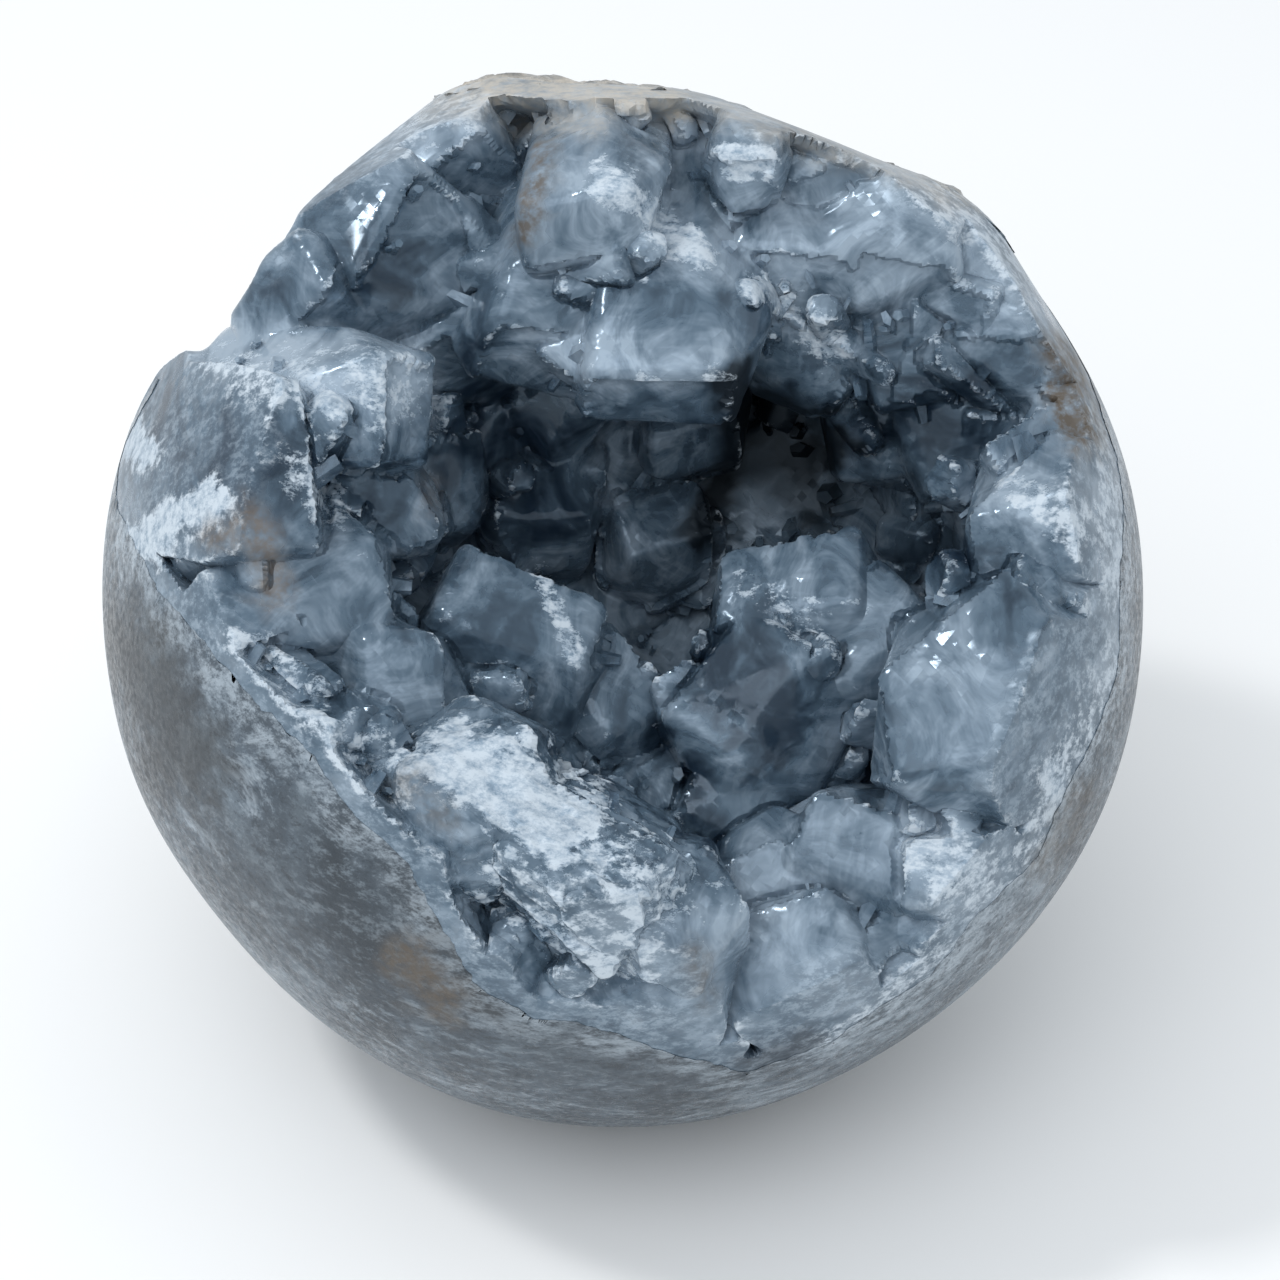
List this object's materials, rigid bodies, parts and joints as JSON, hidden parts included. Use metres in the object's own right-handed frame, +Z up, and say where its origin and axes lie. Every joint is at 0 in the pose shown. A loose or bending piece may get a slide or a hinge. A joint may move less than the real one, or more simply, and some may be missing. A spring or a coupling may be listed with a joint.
{
  "type": "celestite geode",
  "caption": "Tumbled ball of pale grey-blue rock, broken open on one side to a hollow lined with blocky blue-grey celestite crystals, resting on a small flat foot.",
  "frame": {"origin": "middle of the small flat foot that the ball rests on", "axes": "+Z up; the mouth of the hollow faces -Y and up; +X is to the right for someone who looks into it"},
  "size_m": [0.0799, 0.0797, 0.0763],
  "materials": {
    "tumbled_rock": "tumbled to a satin polish outside, broken and dull at the mouth's edge",
    "celestite": "glassy cleavage and crystal faces, frosted in places"
  },
  "bodies": {
    "root": {"geode_shell": "tumbled_rock", "crystal_crust": "celestite"}
  },
  "joints": []
}
